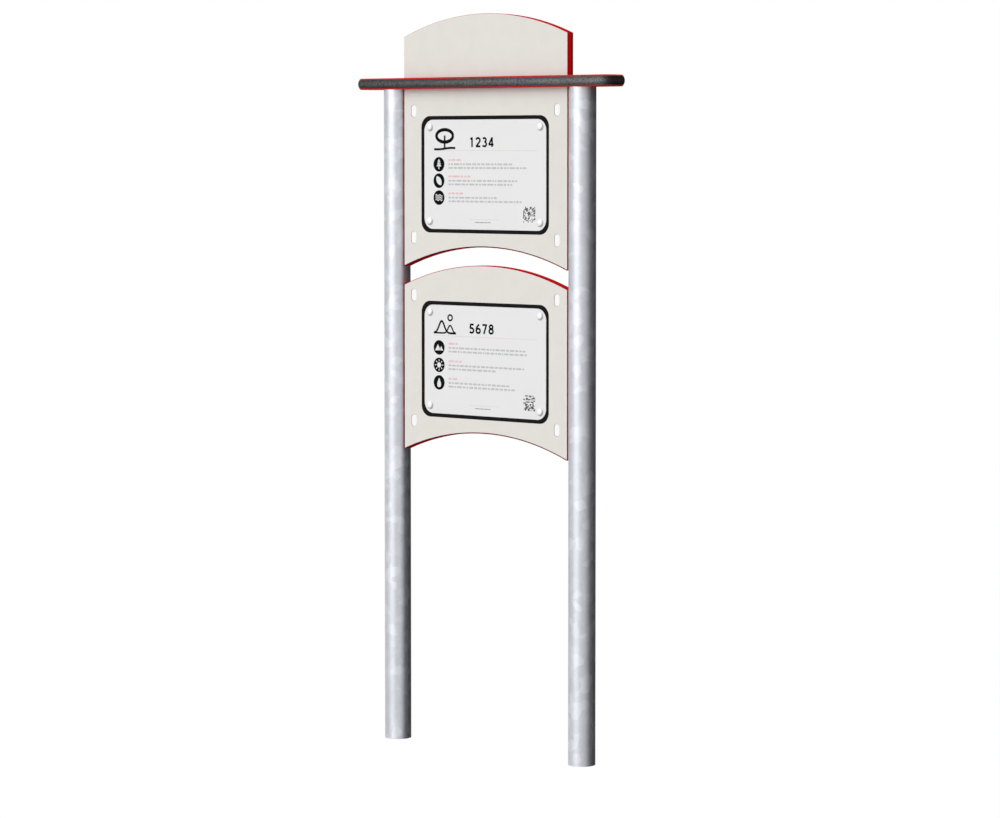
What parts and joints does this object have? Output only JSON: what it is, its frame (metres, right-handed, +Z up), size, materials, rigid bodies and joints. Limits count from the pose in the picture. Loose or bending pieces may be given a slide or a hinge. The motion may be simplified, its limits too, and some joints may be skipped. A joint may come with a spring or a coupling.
{
  "type": "park interpretation sign",
  "caption": "Two-post park sign with arched boards one above the other, framed information plates, a narrow roof board and an arched header.",
  "frame": {"origin": "on the ground, midway between the posts' axes", "axes": "+X to the right along the sign, +Y to its back, +Z up"},
  "size_m": [0.9438, 0.0898, 2.0806],
  "materials": {
    "galvanised_steel": "hot-dip galvanised, matt with soft spangle",
    "roof_board": "dark speckled core between thin red faces",
    "board": "fine-textured warm grey faces over a red core",
    "frame": "black, satin",
    "plate": "white printed laminate, satin",
    "cap": "white moulded plastic",
    "fastener_steel": "stainless",
    "brass": "turned"
  },
  "bodies": {
    "root": {"left_post": "galvanised_steel", "right_post": "galvanised_steel", "post_top_plugs": "galvanised_steel", "left_lugs": "galvanised_steel", "right_lugs": "galvanised_steel", "roof_board": "roof_board", "roof_bolts": "fastener_steel", "lower_board": "board", "lower_plate_frame": "frame", "lower_info_plate": "plate", "lower_plate_inserts": "brass", "lower_plate_screws": "fastener_steel", "lower_screw_caps": "cap", "lower_board_bolts": "fastener_steel", "lower_front_washers": "fastener_steel", "lower_back_washers": "fastener_steel", "lower_lock_nuts": "fastener_steel", "lower_fixing_caps": "cap", "upper_board": "board", "upper_plate_frame": "frame", "upper_info_plate": "plate", "upper_plate_inserts": "brass", "upper_plate_screws": "fastener_steel", "upper_screw_caps": "cap", "upper_board_bolts": "fastener_steel", "upper_front_washers": "fastener_steel", "upper_back_washers": "fastener_steel", "upper_lock_nuts": "fastener_steel", "upper_fixing_caps": "cap"}
  },
  "joints": []
}
